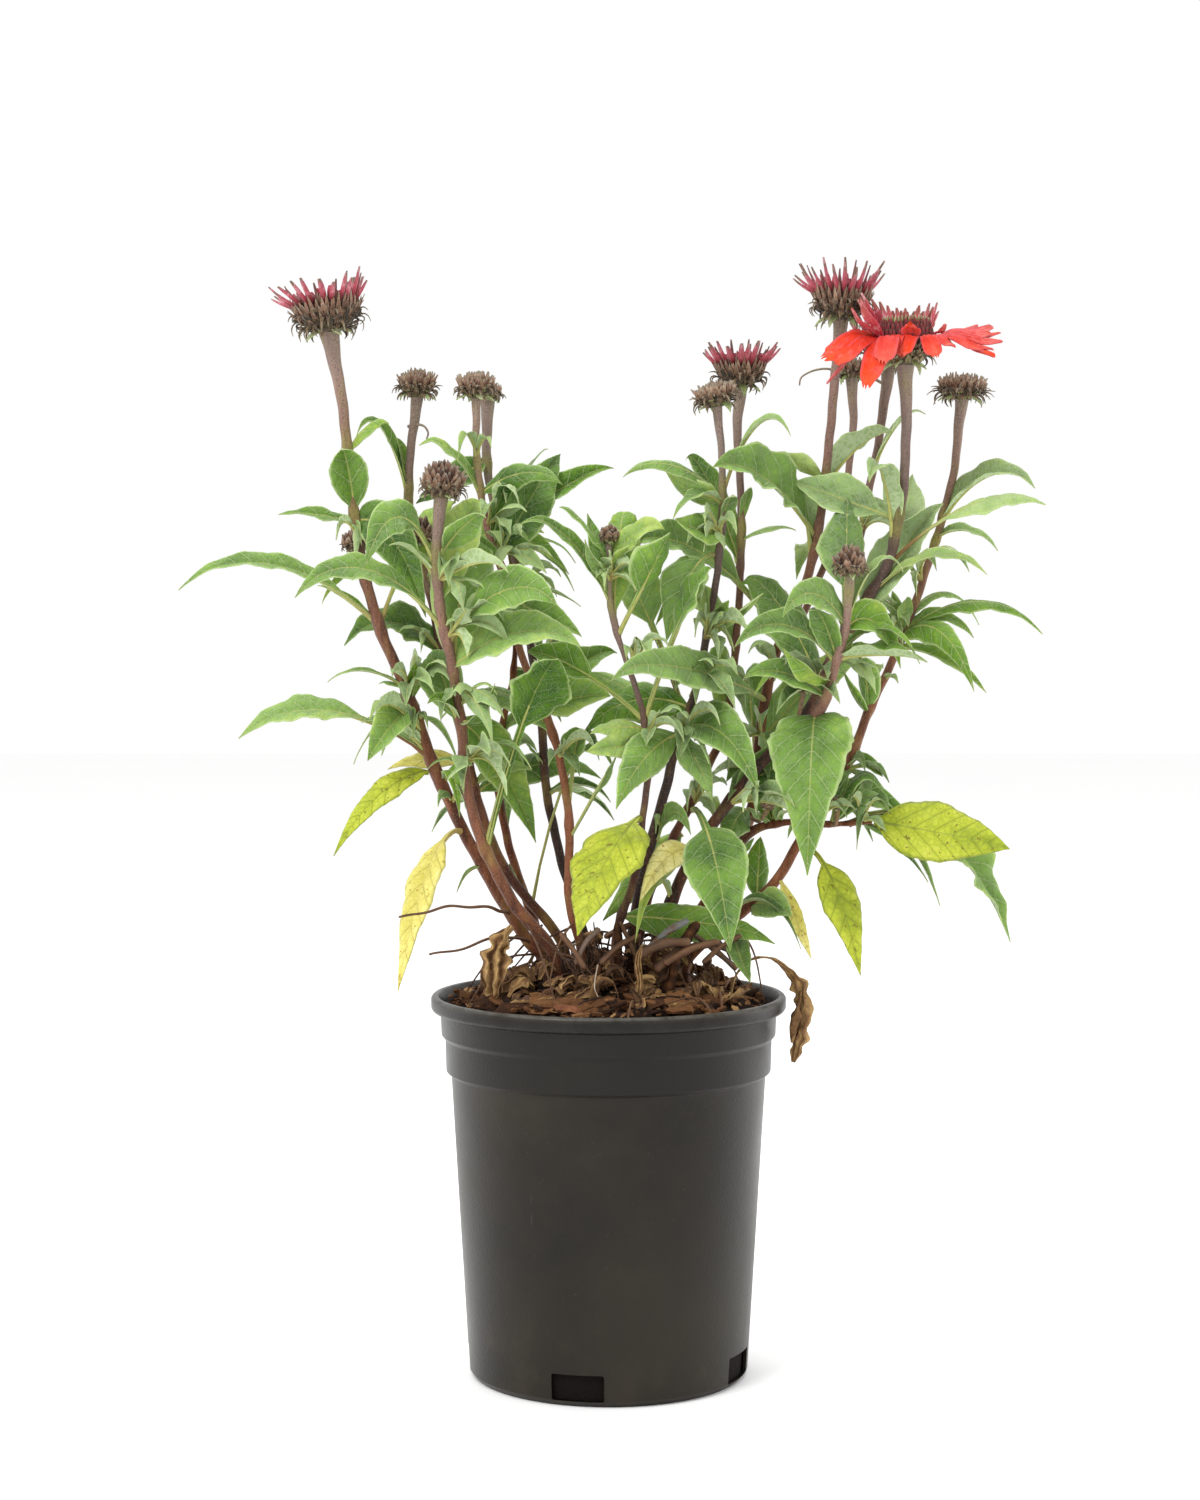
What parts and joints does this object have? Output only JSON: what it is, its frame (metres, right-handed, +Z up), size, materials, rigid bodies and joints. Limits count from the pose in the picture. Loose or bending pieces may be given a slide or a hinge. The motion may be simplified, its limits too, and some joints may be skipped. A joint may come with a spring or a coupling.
{
  "type": "potted coneflower",
  "caption": "Clump of coneflower in a round nursery pot: branching leafy stems with dark domed flower heads, some with upright or spreading rays, over bark litter that fills the pot.",
  "frame": {"origin": "centre of the pot's flat base, on the ground", "axes": "+Z up, +X to the right and +Y away from the side from which the plant is seen in the picture"},
  "size_m": [0.3966, 0.166, 0.5186],
  "materials": {
    "pot": "thin black moulded plastic, soft sheen",
    "soil": "damp composted bark, rough",
    "dead": "dry dead leaf, matte",
    "chip": "pale wood chip, matte",
    "brick": "orange-brown bark chip, matte",
    "disc": "pointed florets, matte",
    "ray": "young ray florets, soft satin",
    "open_ray": "ray florets, soft satin",
    "lime": "yellowing leaf, satin",
    "straw": "withered leaf, matte",
    "leaf": "leaves and stems, satin"
  },
  "bodies": {
    "root": {"pot": "pot", "soil": "soil", "dead_leaf_rim": "dead", "dead_leaf_left": "dead", "chip_straw": "chip", "chip_square": "soil", "chip_brick": "brick", "head_a": "disc", "rays_a": "ray", "head_b": "disc", "head_c": "disc", "head_d": "disc", "head_e": "disc", "head_f": "disc", "rays_f": "ray", "head_g": "disc", "head_h": "disc", "rays_h": "ray", "head_i": "disc", "head_j": "disc", "head_k": "disc", "head_l": "disc", "rays_l": "ray", "head_m": "disc", "head_n": "disc", "rays_j": "open_ray", "leaf_lime_left": "lime", "leaf_straw_back": "straw", "leaf_straw_left": "straw", "leaf_lime_front": "lime", "leaf_straw_folded": "straw", "leaf_lime_right": "lime", "leaf_lime_hanging": "lime", "leaf_straw_narrow": "straw", "stem_1": "leaf", "stem_2": "leaf", "stem_3": "leaf", "stem_4": "leaf", "stem_5": "leaf", "stem_6": "leaf", "stem_7": "leaf", "stem_8": "leaf", "stem_9": "leaf", "stem_10": "leaf", "stem_13": "leaf", "stem_15": "leaf"}
  },
  "joints": []
}
